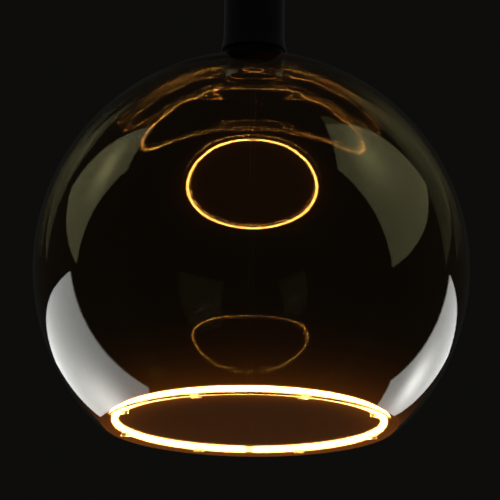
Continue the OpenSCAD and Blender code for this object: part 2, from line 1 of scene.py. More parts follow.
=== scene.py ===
"""Looks of the globe lamp: smoked glass ball with a glowing ring on its flat base, black collar and screw cap.

Everything is in metres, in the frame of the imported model: the base plane is z = 0, the lamp's axis is Z with the cap
at the top, and +Y points away from the photo's viewer, towards the joint of the light ring.
"""

import json
import math

import bpy
from mathutils import Matrix, Vector, noise


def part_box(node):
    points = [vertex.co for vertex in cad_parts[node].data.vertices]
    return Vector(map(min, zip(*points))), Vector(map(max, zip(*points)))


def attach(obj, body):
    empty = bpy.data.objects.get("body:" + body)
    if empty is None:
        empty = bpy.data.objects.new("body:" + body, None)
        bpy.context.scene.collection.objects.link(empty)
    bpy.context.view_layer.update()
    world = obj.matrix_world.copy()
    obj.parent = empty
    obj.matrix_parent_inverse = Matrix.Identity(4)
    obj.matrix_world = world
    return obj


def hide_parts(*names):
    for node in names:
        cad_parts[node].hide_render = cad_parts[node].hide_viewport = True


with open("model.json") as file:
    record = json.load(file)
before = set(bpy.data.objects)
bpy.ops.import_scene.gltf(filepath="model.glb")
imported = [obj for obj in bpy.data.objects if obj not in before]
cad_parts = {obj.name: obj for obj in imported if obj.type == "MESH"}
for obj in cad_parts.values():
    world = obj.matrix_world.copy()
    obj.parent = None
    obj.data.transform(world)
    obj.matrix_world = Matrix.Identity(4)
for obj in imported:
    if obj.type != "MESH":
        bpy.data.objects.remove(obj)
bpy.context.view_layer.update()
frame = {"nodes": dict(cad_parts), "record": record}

MM = 0.001
FULL_TURN = 2 * math.pi
QUARTER_TURN = math.pi / 2
X_AXIS = Vector((1, 0, 0))
Z_AXIS = Vector((0, 0, 1))
BODY = "root"


# ---- Sizes, from the frame and from the part's own driving dimensions ----

_, globe_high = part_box("globe")
sleeve_low, sleeve_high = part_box("phosphor_sleeve")
shell_low, shell_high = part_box("cap_shell")

# Glass: a ball with a flat base, a rounded corner between them, and a flare that leads into the throat and neck.
BALL_R = globe_high.x
NECK_TOP = globe_high.z
CENTRE_H = 74 * MM
GLASS_T = 1.2 * MM
CORNER_R = 3.5 * MM
NECK_R = 12.5 * MM
THROAT_R = 14.6 * MM
FLARE_R = 1.6 * MM
FLARE_X = THROAT_R + FLARE_R
FLARE_Z = CENTRE_H + math.sqrt((BALL_R + FLARE_R) ** 2 - FLARE_X**2)
FLARE_ANGLE = math.atan2(FLARE_Z - CENTRE_H, FLARE_X)
CORNER_X = math.sqrt((BALL_R - CORNER_R) ** 2 - (CENTRE_H - CORNER_R) ** 2)
CORNER_ANGLE = math.atan2(CORNER_R - CENTRE_H, CORNER_X)
FOOT_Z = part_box("collar")[0].z
THROAT = [
    (THROAT_R, FOOT_Z - 2.2 * MM),
    (14.45 * MM, FOOT_Z - 1.2 * MM),
    (14.0 * MM, FOOT_Z),
    (NECK_R, FOOT_Z + 6 * MM),
]

# Unevenness of the blown shoulder. It grows from BLOWN_START over BLOWN_RISE and ends at SHOULDER_END over
# BLOWN_FALL, all in degrees from the top. The seeds are for the outside and the inside of the glass.
BLOWN_START = 9
BLOWN_RISE = 3
BLOWN_FALL = 20
SHOULDER_END = 44
SHOULDER_ANGLE = math.radians(90 - SHOULDER_END)
RIPPLE_HEIGHT = 0.20 * MM
RIPPLE_DEGREES = 7
RIPPLE_SEEDS = (0, 0.5)
WAVE_HEIGHT = 0.10 * MM
WAVE_RATE = 3
WAVE_SEEDS = (Vector((0, 0, 0)), Vector((3.1, 7.7, 1.3)))

# Light ring: the sleeve, the bright core in it, the bead over the joint, and the halos and film round it; the bead,
# the halos and the film glow with painted light. The length of the rounded ends is a share of the tube's radius, and
# the bead's sizes are shares of the sleeve's radius. The film lies on the glass, and its gaps are how far its two
# sides lie off it.
SLEEVE_R = (sleeve_high.z - sleeve_low.z) / 2
RING_Z = (sleeve_high.z + sleeve_low.z) / 2
RING_R = sleeve_high.x - SLEEVE_R
JOINT_GAP = 3 * MM
CORE_R = 0.75 * MM
CORE_BACK = 0.4 * MM
END_LENGTH = 0.4
END_POWER = 0.6
BEAD_R = 0.86
BEAD_WAIST = 0.08
HALO_NEAR_R = 1.95 * MM
HALO_FAR_R = 2.33 * MM
PAINTED_GLOW_GAPS = (0.04 * MM, 0.08 * MM)

# Leads: the fine wire runs where the solid's thicker one does.
LEAD_R = 0.035 * MM
SOLID_LEAD_R = 0.2 * MM
LEAD_GAP = 0.15 * MM
LEAD_START = 0.1 * MM
LEAD_BEND = 4 * MM

# Seal in the throat: a blunt dome that hangs down into the ball.
SEAL_R = 14.9 * MM
SEAL_Z = 171.6 * MM
SEAL_DROP = 7.5 * MM
SEAL_T = 0.8 * MM
SEAL_POWER = 0.6

# Screw shell: a standard thread rolled into thin sheet. It fades in and out over a share of its pitch.
SHEET_T = 0.3 * MM
CURL_R = 2.6 * MM
LIP_R = 9.8 * MM
THREAD_PITCH = 3.629 * MM
THREAD_ROOT_R = 12.13 * MM
THREAD_POWER = 0.9
THREAD_START = 3.4 * MM
THREAD_STOP = 0.3 * MM
THREAD_RUN_IN = 0.5
THREAD_RUN_OUT = 0.4
CRIMPS = 8
CRIMP_DEPTH = 0.07 * MM
CRIMP_UP = 1.7 * MM
CRIMP_WIDTH = 0.9 * MM
CRIMP_HEIGHT = 0.7 * MM


# ---- Meshes ----


def piece(name, vertices, faces, material, replaced=()):
    """A smooth mesh piece of the lamp that rides on its body."""
    mesh = bpy.data.meshes.new(name)
    mesh.from_pydata([tuple(v) for v in vertices], [], faces)
    mesh.validate()
    mesh.update()
    mesh.polygons.foreach_set("use_smooth", [True] * len(mesh.polygons))
    mesh.materials.append(material)
    obj = bpy.data.objects.new(name, mesh)
    bpy.context.scene.collection.objects.link(obj)
    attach(obj, BODY)
    if replaced:
        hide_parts(*replaced)


def clamp(value):
    """The value, kept from 0 to 1."""
    return min(max(value, 0), 1)


def ease(value):
    """Smooth step from 0 to 1."""
    x = clamp(value)
    return x * x * (3 - 2 * x)


def turns(steps):
    """Angles of a full turn in equal steps."""
    return [FULL_TURN * k / steps for k in range(steps)]


def about_axis(r, turn, z):
    """Point at a radius, an angle and a height about the lamp's axis."""
    return r * math.cos(turn), r * math.sin(turn), z


def arc(centre, radius, start, end, steps):
    """Points on an arc of the (r, z) plane, both ends included."""
    return [
        (centre[0] + radius * math.cos(a), centre[1] + radius * math.sin(a))
        for a in (start + (end - start) * i / steps for i in range(steps + 1))
    ]


def lathe(profile, steps):
    """Vertices and faces of a profile of (r, z) points turned about Z; an end on the axis becomes one vertex."""
    vertices, rings = [], []
    for r, z in profile:
        if r == 0:
            rings.append([len(vertices)] * steps)
            vertices.append((0, 0, z))
        else:
            rings.append(range(len(vertices), len(vertices) + steps))
            vertices += [about_axis(r, turn, z) for turn in turns(steps)]
    faces = []
    for low, high in zip(rings, rings[1:]):
        for k in range(steps):
            n = (k + 1) % steps
            faces.append(list(dict.fromkeys((low[k], low[n], high[n], high[k]))))
    return vertices, faces


def band_faces(rings, sides, closed=False):
    """Faces between rings of as many vertices each; closed joins the last ring to the first."""
    faces = []
    for i in range(rings if closed else rings - 1):
        low, high = i * sides, (i + 1) % rings * sides
        for k in range(sides):
            n = (k + 1) % sides
            faces.append((low + k, low + n, high + n, high + k))
    return faces


def tube_faces(rings, sides):
    """Faces of a tube with closed ends."""
    first = tuple(range(sides - 1, -1, -1))
    last = tuple((rings - 1) * sides + k for k in range(sides))
    return band_faces(rings, sides) + [first, last]


def ring_section(turn, radius, sides):
    """Circle of vertices round the light ring's centre line, at an angle about the axis."""
    return [about_axis(RING_R + radius * math.cos(t), turn, RING_Z + radius * math.sin(t)) for t in turns(sides)]


def ball_outline(inset, floor_steps, corner_steps, wall):
    """Half outline of the ball, moved in by inset, from the middle of the base up along the wall.

    The wall is a list of its arcs, each as its end angle and its steps.
    """
    points = [(CORNER_X * i / floor_steps, inset) for i in range(floor_steps)]
    points += arc((CORNER_X, CORNER_R), CORNER_R - inset, -QUARTER_TURN, CORNER_ANGLE, corner_steps)
    start = CORNER_ANGLE
    for end, steps in wall:
        points += arc((0, CENTRE_H), BALL_R - inset, start, end, steps)[1:]
        start = end
    return points


def glass_outline(inset):
    """Half outline of the whole glass, up to the top of the neck; the uneven shoulder has the finest steps."""
    ball = ball_outline(inset, floor_steps=5, corner_steps=12, wall=[(SHOULDER_ANGLE, 64), (FLARE_ANGLE, 96)])
    flare = arc((FLARE_X, FLARE_Z), FLARE_R + inset, math.pi + FLARE_ANGLE, math.pi, steps=14)
    neck = [(r - inset, z) for r, z in THROAT + [(NECK_R, NECK_TOP)]]
    return ball + flare[1:] + neck


# ---- Nodes that materials, lights and the world share ----


def feed(tree, value, socket):
    """Sets a socket to a number, or links a node's output to it."""
    if isinstance(value, (int, float)):
        socket.default_value = value
    else:
        tree.links.new(value, socket)


def maths(tree, operation, *values):
    """Output of a Math node; each value is a number or a node's output."""
    node = tree.nodes.new("ShaderNodeMath")
    node.operation = operation
    for value, socket in zip(values, node.inputs):
        feed(tree, value, socket)
    return node.outputs[0]


def mix_shaders(tree, factor, first, second):
    """Output that is the first shader where the factor is 0 and the second where it is 1."""
    mix = tree.nodes.new("ShaderNodeMixShader")
    feed(tree, factor, mix.inputs["Fac"])
    tree.links.new(first, mix.inputs[1])
    tree.links.new(second, mix.inputs[2])
    return mix.outputs[0]


# ---- Materials ----


BLEND_ENDS = (0.3, 0.7)


class Shader:
    """A material with one Principled node, and short ways to add nodes to it."""

    def __init__(self, name, colour, roughness, **sockets):
        self.material = bpy.data.materials.new(name)
        self.material.use_nodes = True
        self.tree = self.material.node_tree
        self.bsdf = self.tree.nodes["Principled BSDF"]
        self.set("Base Color", (*colour, 1))
        self.set("Roughness", roughness)
        for socket, value in sockets.items():
            self.set(socket.replace("_", " "), value)
        self.position = self.tree.nodes.new("ShaderNodeTexCoord").outputs["Object"]

    def set(self, socket, value):
        """Sets one of the surface's own sockets."""
        self.bsdf.inputs[socket].default_value = value

    def emit(self, colour, strength):
        """Makes the surface glow."""
        self.set("Emission Color", (*colour, 1))
        self.set("Emission Strength", strength)

    def noise(self, size, detail=3, stretch=(1, 1, 1)):
        """Noise from 0 to 1 with features of about that size in metres."""
        mapping = self.tree.nodes.new("ShaderNodeMapping")
        mapping.inputs["Scale"].default_value = stretch
        self.tree.links.new(self.position, mapping.inputs["Vector"])
        texture = self.tree.nodes.new("ShaderNodeTexNoise")
        texture.inputs["Scale"].default_value = 1 / size
        texture.inputs["Detail"].default_value = detail
        self.tree.links.new(mapping.outputs["Vector"], texture.inputs["Vector"])
        return texture.outputs["Fac"]

    def blend(self, factor, low, high):
        """Blends two colours over the surface, as the factor goes from one of BLEND_ENDS to the other."""
        ramp = self.tree.nodes.new("ShaderNodeValToRGB")
        for element, position, colour in zip(ramp.color_ramp.elements, BLEND_ENDS, (low, high)):
            element.position, element.color = position, (*colour, 1)
        self.tree.links.new(factor, ramp.inputs["Fac"])
        self.tree.links.new(ramp.outputs["Color"], self.bsdf.inputs["Base Color"])

    def span(self, factor, low, high):
        """Output that goes from low to high by a factor."""
        span = self.tree.nodes.new("ShaderNodeMapRange")
        span.inputs["To Min"].default_value, span.inputs["To Max"].default_value = low, high
        self.tree.links.new(factor, span.inputs["Value"])
        return span.outputs["Result"]

    def vary(self, factor, low, high):
        """Varies the roughness by a factor."""
        self.tree.links.new(self.span(factor, low, high), self.bsdf.inputs["Roughness"])

    def bump(self, height, depth):
        """Bump of that depth in metres."""
        node = self.tree.nodes.new("ShaderNodeBump")
        node.inputs["Distance"].default_value = depth
        self.tree.links.new(height, node.inputs["Height"])
        self.tree.links.new(node.outputs["Normal"], self.bsdf.inputs["Normal"])

    def see_through(self, opacity):
        """Mixes the surface with a transparent one; opacity is a number or a node's output."""
        clear = self.tree.nodes.new("ShaderNodeBsdfTransparent")
        mix = mix_shaders(self.tree, opacity, clear.outputs[0], self.bsdf.outputs[0])
        self.tree.links.new(mix, self.tree.nodes["Material Output"].inputs["Surface"])


def smoked_glass():
    """Clear glass that takes a smoky olive tint at each surface."""
    s = Shader("smoked_glass", (0.55, 0.537, 0.38), roughness=0, Transmission_Weight=1, IOR=1.5)
    s.blend(s.noise(45 * MM), (0.53, 0.517, 0.355), (0.57, 0.557, 0.405))
    return s.material


def phosphor_silicone():
    """Outer silicone of the filament: lit from inside, and clear enough to show its bright core."""
    s = Shader("phosphor_silicone", (1.0, 0.82, 0.45), roughness=0.5)
    s.emit((1.0, 0.60, 0.34), strength=14)
    s.blend(s.noise(2 * MM), (0.95, 0.72, 0.34), (1, 0.86, 0.52))
    s.bump(s.noise(0.6 * MM), depth=0.05 * MM)
    s.see_through(opacity=0.35)
    return s.material


def light_core():
    """Phosphor right over the chips, where most of the light comes from."""
    s = Shader("light_core", (1.0, 0.8, 0.4), roughness=0.5)
    s.emit((1.0, 0.43, 0.11), strength=140)
    s.blend(s.noise(1.5 * MM), (0.95, 0.7, 0.3), (1, 0.84, 0.48))
    s.bump(s.noise(0.5 * MM), depth=0.04 * MM)
    return s.material


def joint_glow():
    """Silicone of the joint's bead, with a painted glow that is a little dimmer than the ring beside it."""
    s = Shader("joint_glow", (1.0, 0.86, 0.55), roughness=0.35)
    s.emit((1.0, 0.62, 0.30), strength=9)
    s.blend(s.noise(0.8 * MM), (0.95, 0.78, 0.45), (1, 0.9, 0.62))
    return s.material


def seal_black_painted_shade():
    """Glossy black of the seal in the throat, partly painted shade: its black stands in for the unlit neck above it.
    """
    s = Shader("seal_black_painted_shade", (0.006, 0.004, 0.002), roughness=0.04, Specular_IOR_Level=0.35)
    s.blend(s.noise(5 * MM), (0.004, 0.003, 0.0015), (0.009, 0.006, 0.003))
    s.vary(s.noise(2 * MM), low=0.02, high=0.07)
    return s.material


def clear_adhesive():
    """Soft clear pads under the ring, which wet the glass and so hardly show."""
    s = Shader("clear_adhesive", (0.95, 0.93, 0.88), roughness=0.06, Transmission_Weight=1, IOR=1.08)
    s.blend(s.noise(1.5 * MM), (0.94, 0.93, 0.9), (0.99, 0.985, 0.97))
    s.vary(s.noise(1.0 * MM), low=0.2, high=0.4)
    return s.material


# Film of painted glow: its opacity on the floor, all over the wall, low on the wall and by the ring; its RISE and
# REACH are how far the last two go. The halos' opacity varies by HALO_SPREAD of itself.
PAINTED_GLOW_COLOUR = (1.0, 0.26, 0.028)
PAINTED_GLOW_STRENGTH = 4
PAINTED_GLOW_FLOOR = 0.0125
PAINTED_GLOW_WALL = 0.00015
PAINTED_GLOW_LOW = 0.0022
PAINTED_GLOW_RISE = 18 * MM
PAINTED_GLOW_RING = 0.045
PAINTED_GLOW_REACH = 5.5 * MM
HALO_NEAR_COLOUR = (1.0, 0.34, 0.07)
HALO_NEAR_STRENGTH = 8
HALO_FAR_COLOUR = (1.0, 0.27, 0.03)
HALO_FAR_STRENGTH = 4
HALO_OPACITY = 0.022
HALO_SPREAD = 0.2


def painted_glow_opacity(s):
    """Opacity of the painted glow inside the glass: strongest by the ring, even on the floor, fading up the wall."""

    def calc(operation, *values):
        return maths(s.tree, operation, *values)

    def length(a, b):
        return calc("SQRT", calc("ADD", calc("MULTIPLY", a, a), calc("MULTIPLY", b, b)))

    place = s.tree.nodes.new("ShaderNodeSeparateXYZ")
    s.tree.links.new(s.position, place.inputs[0])
    x, y, z = place.outputs
    from_ring = length(calc("SUBTRACT", length(x, y), RING_R), calc("SUBTRACT", z, RING_Z))
    on_floor = calc("LESS_THAN", z, 2 * GLASS_T)
    rise = calc("MULTIPLY", z, 1 / PAINTED_GLOW_RISE)
    low = calc("MULTIPLY", calc("POWER", 1 / math.e, calc("MULTIPLY", rise, rise)), PAINTED_GLOW_LOW)
    wall = calc("MULTIPLY", calc("ADD", low, PAINTED_GLOW_WALL), calc("SUBTRACT", 1, on_floor))
    base = calc("ADD", calc("MULTIPLY", on_floor, PAINTED_GLOW_FLOOR), wall)
    fade = calc("POWER", math.e, calc("MULTIPLY", from_ring, -1 / PAINTED_GLOW_REACH))
    return calc("ADD", base, calc("MULTIPLY", fade, PAINTED_GLOW_RING))


def halo_opacity(s):
    """Low opacity that varies a little from place to place."""
    return s.span(s.noise(3 * MM), (1 - HALO_SPREAD) * HALO_OPACITY, (1 + HALO_SPREAD) * HALO_OPACITY)


def glow(name, colour, strength, opacity):
    """See-through glow: an emitting surface mixed with a transparent one; opacity is a function of the shader."""
    s = Shader(name, (0.02, 0.01, 0.005), roughness=0.9, Specular_IOR_Level=0)
    s.emit(colour, strength)
    s.see_through(opacity(s))
    return s.material


def moulded_plastic(name, colour, roughness, grain=0.15 * MM, specular=0.5):
    """Plastic, rubber or lacquer with a fine grain and slightly lighter, uneven spots."""
    s = Shader(name, colour, roughness, Specular_IOR_Level=specular)
    lighter = tuple(min(1, 1.35 * c + 0.0005) for c in colour)
    s.blend(s.noise(6 * MM), colour, lighter)
    s.vary(s.noise(1.5 * MM), low=roughness - 0.06, high=roughness + 0.08)
    s.bump(s.noise(grain), depth=0.02 * MM)
    return s.material


def plated_metal(name, colour, roughness):
    """Metal with darker spots and marks that run round it."""
    s = Shader(name, colour, roughness, Metallic=1)
    darker = tuple(0.82 * c for c in colour)
    s.blend(s.noise(3 * MM, detail=5), darker, colour)
    s.vary(s.noise(0.8 * MM, detail=4, stretch=(1, 1, 12)), low=roughness - 0.08, high=roughness + 0.12)
    s.bump(s.noise(0.3 * MM, detail=4, stretch=(1, 1, 8)), depth=0.008 * MM)
    return s.material


# Plain entries give the name, the colour and the roughness, and then what differs from the usual grain or gloss.
MATERIALS = {
    "smoked_glass": smoked_glass(),
    "phosphor_silicone": phosphor_silicone(),
    "flexible_strip": moulded_plastic("flexible_strip", (0.8, 0.8, 0.76), 0.45),
    "light_chip": moulded_plastic("light_chip", (0.95, 0.74, 0.22), 0.3),
    "tinned_metal": plated_metal("tinned_metal", (0.78, 0.78, 0.78), 0.32),
    "clear_adhesive": clear_adhesive(),
    "lead_copper": moulded_plastic("lead_copper", (0.020, 0.009, 0.005), 0.45, specular=0.3),
    # The next two have almost no colour: partly the parts' own black, partly painted shade that keeps them as dark as
    # when unlit.
    "black_silicone": moulded_plastic("black_silicone", (0.002, 0.002, 0.002), 0.65, specular=0.03),
    "black_plastic": moulded_plastic("black_plastic", (0.002, 0.002, 0.0021), 0.6, specular=0.03),
    "circuit_board": moulded_plastic("circuit_board", (0.06, 0.26, 0.14), 0.3),
    "package_black": moulded_plastic("package_black", (0.04, 0.04, 0.042), 0.5),
    "resistor_body": moulded_plastic("resistor_body", (0.36, 0.42, 0.32), 0.35),
    "film_case": moulded_plastic("film_case", (0.55, 0.16, 0.09), 0.35),
    "can_sleeve": moulded_plastic("can_sleeve", (0.07, 0.08, 0.16), 0.3),
    "bung_rubber": moulded_plastic("bung_rubber", (0.05, 0.05, 0.05), 0.6),
    "ferrite": moulded_plastic("ferrite", (0.12, 0.12, 0.125), 0.6),
    "winding_copper": plated_metal("winding_copper", (0.62, 0.28, 0.12), 0.35),
    "live_insulation": moulded_plastic("live_insulation", (0.3, 0.12, 0.05), 0.4),
    "neutral_insulation": moulded_plastic("neutral_insulation", (0.05, 0.14, 0.45), 0.4),
    "cap_metal": plated_metal("cap_metal", (0.72, 0.70, 0.66), 0.24),
    "cap_glass": moulded_plastic("cap_glass", (0.015, 0.015, 0.02), 0.12, grain=0.8 * MM),
    "contact_brass": plated_metal("contact_brass", (0.78, 0.6, 0.3), 0.28),
    "solder": plated_metal("solder", (0.72, 0.72, 0.73), 0.3),
}
JOINT_GLOW = joint_glow()
LIGHT_CORE = light_core()
SEAL_BLACK_PAINTED_SHADE = seal_black_painted_shade()
# Painted glow: a film on the inside of the glass that emits light of its own, strongest by the ring; it is no lamp.
PAINTED_GLOW_FILM = glow("painted_glow_film", PAINTED_GLOW_COLOUR, PAINTED_GLOW_STRENGTH, painted_glow_opacity)
# Painted glow: the halos are emitting tubes round the ring, and they are no lamps.
HALO_NEAR = glow("halo_near", HALO_NEAR_COLOUR, HALO_NEAR_STRENGTH, halo_opacity)
HALO_FAR = glow("halo_far", HALO_FAR_COLOUR, HALO_FAR_STRENGTH, halo_opacity)

for part in frame["record"]["subparts"]:
    node = frame["nodes"][part["node"]]
    node.data.materials.clear()
    node.data.materials.append(MATERIALS[part["material_slot"]])


# ---- Pieces: five stand for CAD nodes, and the others add what the solids leave out ----


def blown(vertices, inside):
    """Moves points of one side of the ball by the slight unevenness that blowing leaves at the shoulder."""
    moved = []
    for x, y, z in vertices:
        out = Vector((x, y, z - CENTRE_H))
        polar = math.degrees(out.angle(Z_AXIS))
        share = clamp((polar - BLOWN_START) / BLOWN_RISE) * clamp((SHOULDER_END - polar) / BLOWN_FALL)
        if share > 0:
            direction = out.normalized()
            ripple = noise.noise(Vector((polar / RIPPLE_DEGREES, RIPPLE_SEEDS[inside], 0)))
            wave = noise.noise(direction * WAVE_RATE + WAVE_SEEDS[inside])
            out += direction * share * (RIPPLE_HEIGHT * ripple + WAVE_HEIGHT * wave)
            moved.append((out.x, out.y, out.z + CENTRE_H))
        else:
            moved.append((x, y, z))
    return moved


def globe_glass():
    """One closed wall: the outer outline up and the inner outline back down."""
    vertices, faces = lathe(glass_outline(0) + glass_outline(GLASS_T)[::-1], steps=252)
    half = len(vertices) // 2
    vertices = blown(vertices[:half], False) + blown(vertices[half:], True)
    piece("globe_glass", vertices, faces, MATERIALS["smoked_glass"], ["globe"])


def filament(name, radius, back, material, replaced=()):
    """Round glowing tube along the ring, with rounded ends that stand back from the joint."""
    sides, steps, end_steps = 24, 360, 6
    half_gap = (JOINT_GAP / 2 + back) / RING_R
    run = FULL_TURN - 2 * half_gap
    end = [
        (radius * END_LENGTH * (1 - math.cos(t)) / RING_R, radius * math.sin(t) ** END_POWER)
        for t in (QUARTER_TURN * (i + 1) / end_steps for i in range(end_steps))
    ]
    first = end[-1][0]
    middle = [(first + (run - 2 * first) * i / steps, radius) for i in range(1, steps)]
    path = end + middle + [(run - along, r) for along, r in end[::-1]]
    vertices = []
    for along, r in path:
        vertices += ring_section(QUARTER_TURN + half_gap + along, r, sides)
    piece(name, vertices, tube_faces(len(path), sides), material, replaced)


def joint_bead():
    """Bead of silicone over the joint, slightly waisted; its glow is painted, standing in for the light of the two
    glowing ends.
    """
    sides, steps = 20, 12
    half_gap = JOINT_GAP / 2 / RING_R
    vertices = []
    for i in range(steps + 1):
        turn = QUARTER_TURN - half_gap + 2 * half_gap * i / steps
        vertices += ring_section(turn, SLEEVE_R * (BEAD_R - BEAD_WAIST * math.sin(math.pi * i / steps)), sides)
    piece("joint_bead", vertices, tube_faces(steps + 1, sides), JOINT_GLOW)


def ring_halo(name, radius, material):
    """Closed tube round the sleeve that glows with painted light, a halo round the ring."""
    sides, steps = 24, 180
    vertices = []
    for turn in turns(steps):
        vertices += ring_section(turn, radius, sides)
    piece(name, vertices, band_faces(steps, sides, closed=True), material)


def inner_painted_glow_film():
    """Thin film on the inside of the glass, over the floor and up the wall, that glows with painted light, strongest
    by the ring.
    """
    near, far = (
        ball_outline(GLASS_T + gap, floor_steps=8, corner_steps=10, wall=[(FLARE_ANGLE, 60)]) for gap in PAINTED_GLOW_GAPS
    )
    vertices, faces = lathe(near + far[::-1], steps=128)
    piece("inner_painted_glow_film", vertices, faces, PAINTED_GLOW_FILM)


def lead_wire(name):
    """Fine lead along the glass, from the joint's end up the far wall into the neck."""
    low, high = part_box(name)
    x = (low.x + high.x) / 2
    inset = GLASS_T + LEAD_GAP + SOLID_LEAD_R
    wall = BALL_R - inset
    bend_y = math.sqrt((wall - LEAD_BEND) ** 2 - (CENTRE_H - RING_Z - LEAD_BEND) ** 2)
    bend_angle = math.atan2(RING_Z + LEAD_BEND - CENTRE_H, bend_y)
    low_skip, high_skip, top_skip = 0.05, 0.02, 0.1  # angles left out where two stretches meet
    route = [(RING_R + LEAD_START, RING_Z)]
    route += arc((bend_y, RING_Z + LEAD_BEND), LEAD_BEND, -QUARTER_TURN, bend_angle, steps=8)
    route += arc((0, CENTRE_H), wall, bend_angle + low_skip, FLARE_ANGLE - high_skip, steps=60)
    route += arc((FLARE_X, FLARE_Z), FLARE_R + inset, math.pi + FLARE_ANGLE + high_skip, math.pi, steps=12)
    route += [(r - inset, z) for r, z in THROAT]
    route.append((NECK_R - inset, high.z - LEAD_BEND))
    top = (NECK_R - inset - LEAD_BEND, high.z - LEAD_BEND - SOLID_LEAD_R)
    route += arc(top, LEAD_BEND, top_skip, QUARTER_TURN, steps=6)
    route.append((low.y + SOLID_LEAD_R, high.z - SOLID_LEAD_R))
    sides = 6
    vertices = []
    for i, (y, z) in enumerate(route):
        before, after = route[max(i - 1, 0)], route[min(i + 1, len(route) - 1)]
        along = Vector((0, after[0] - before[0], after[1] - before[1])).normalized()
        across = along.cross(X_AXIS)
        for t in turns(sides):
            vertices.append(Vector((x, y, z)) + LEAD_R * (math.cos(t) * X_AXIS + math.sin(t) * across))
    fine_name = name.replace("lead_", "fine_lead_")
    piece(fine_name, vertices, tube_faces(len(route), sides), MATERIALS["lead_copper"], [name])


def throat_seal():
    """Glossy black seal that closes the throat and bulges into the ball; its black is partly painted shade of the
    unlit neck.
    """
    steps = 40

    def outline(inset):
        radius, drop = SEAL_R - inset, SEAL_DROP - inset
        return [
            (radius * math.sin(t) ** SEAL_POWER, SEAL_Z - drop * math.cos(t) ** SEAL_POWER)
            for t in (QUARTER_TURN * i / steps for i in range(steps + 1))
        ]

    vertices, faces = lathe(outline(0) + outline(SEAL_T)[::-1], steps=192)
    piece("throat_seal", vertices, faces, SEAL_BLACK_PAINTED_SHADE)


def threaded_cap():
    """Screw shell of one rolled sheet: crimped skirt over the collar's spigot, round thread, curled rim."""
    around, levels, curl_steps = 144, 96, 10
    low, high, crest = shell_low.z, shell_high.z, shell_high.x
    curl_z = high - CURL_R
    thread_low, thread_high = low + THREAD_START, curl_z - THREAD_STOP

    def thread(turn, z):
        phase = FULL_TURN * (z - low) / THREAD_PITCH - turn
        depth = (crest - THREAD_ROOT_R) * (0.5 - 0.5 * math.cos(phase)) ** THREAD_POWER
        run_in = ease((z - thread_low) / (THREAD_RUN_IN * THREAD_PITCH))
        run_out = ease((thread_high - z) / (THREAD_RUN_OUT * THREAD_PITCH))
        return depth * (run_in * run_out)

    def crimp(turn, z):
        dent = 0
        for k in range(CRIMPS):
            off = (turn - FULL_TURN * k / CRIMPS + math.pi) % FULL_TURN - math.pi
            dent += math.exp(-((off * crest / CRIMP_WIDTH) ** 2) - ((z - low - CRIMP_UP) / CRIMP_HEIGHT) ** 2)
        return CRIMP_DEPTH * dent

    def rim(inset):
        curl = arc((crest - CURL_R, curl_z), CURL_R - inset, 0, QUARTER_TURN, curl_steps)
        return curl[1:] + [(LIP_R, high - inset)]

    heights = [low + (curl_z - low) * i / levels for i in range(levels + 1)]
    skirt = [[(crest - thread(t, z) - crimp(t, z), z) for t in turns(around)] for z in heights]
    outside, inside = (
        [[(r - inset, z) for r, z in ring] for ring in skirt] + [[point] * around for point in rim(inset)]
        for inset in (0, SHEET_T)
    )
    rings = outside + inside[::-1]
    vertices = [about_axis(r, t, z) for ring in rings for t, (r, z) in zip(turns(around), ring)]
    faces = band_faces(len(rings), around, closed=True)
    piece("threaded_shell", vertices, faces, MATERIALS["cap_metal"], ["cap_shell"])


globe_glass()
filament("filament_sleeve", SLEEVE_R, 0, MATERIALS["phosphor_silicone"], ["phosphor_sleeve"])
filament("filament_core", CORE_R, CORE_BACK, LIGHT_CORE)
joint_bead()
lead_wire("lead_positive")
lead_wire("lead_negative")
throat_seal()
inner_painted_glow_film()
ring_halo("ring_halo_near", HALO_NEAR_R, HALO_NEAR)
ring_halo("ring_halo_far", HALO_FAR_R, HALO_FAR)
threaded_cap()


# ---- Studio: camera, floor, world and softboxes ----

# The camera is fitted to the ball, the ring and the base in the photo.
IMAGE_PX = 500
FOCAL_PX = 3490.8
SENSOR_MM = 36
BALL_AT_PX = (251.2, 269)
CAMERA_DISTANCE = 1.6
CAMERA_ELEVATION = math.radians(-15.04)
CAMERA_ROLL = math.radians(0.7)
FLOOR_Z = -0.75
FLOOR_HALF = 5
FLOOR_COLOUR = (0.75, 0.74, 0.72)
FLOOR_ROUGHNESS = 0.9

# The room as it shows behind the lamp, the room in mirror reflections, and the light that matt surfaces receive.
ROOM_COLOUR = (0.0042, 0.0040, 0.0034)
MIRROR_COLOUR = (0.0095, 0.0095, 0.0085)
FILL_COLOUR = (0.30, 0.30, 0.30)
SOFTBOX_TINT = (0.985, 0.995, 1.04)


def rolled(across, upward, angle):
    """Two perpendicular directions, turned in their plane by an angle."""
    c, s = math.cos(angle), math.sin(angle)
    return c * across + s * upward, c * upward - s * across


def placed(position, x, y, z):
    """Matrix of an object at a position with its axes along three directions."""
    return Matrix.Translation(position) @ Matrix((x, y, z)).transposed().to_4x4()


def make_camera():
    """Camera at the photo's angle: the ball's centre falls on its pixel, and the lamp leans right by the roll."""
    away = Vector((0, math.cos(CAMERA_ELEVATION), -math.sin(CAMERA_ELEVATION)))
    position = Vector((0, 0, CENTRE_H)) - CAMERA_DISTANCE * away
    right, top = rolled(X_AXIS, X_AXIS.cross(away), CAMERA_ROLL)
    off_x, off_y = ((pixel - IMAGE_PX / 2) / FOCAL_PX for pixel in BALL_AT_PX)
    forward = (away - off_x * right + off_y * top).normalized()
    right = (right - forward * right.dot(forward)).normalized()
    top = right.cross(forward)
    data = bpy.data.cameras.new("camera")
    data.sensor_width = SENSOR_MM
    data.lens = FOCAL_PX / IMAGE_PX * SENSOR_MM
    camera = bpy.data.objects.new("camera", data)
    camera.matrix_world = placed(position, right, top, -forward)
    bpy.context.scene.collection.objects.link(camera)
    bpy.context.scene.camera = camera


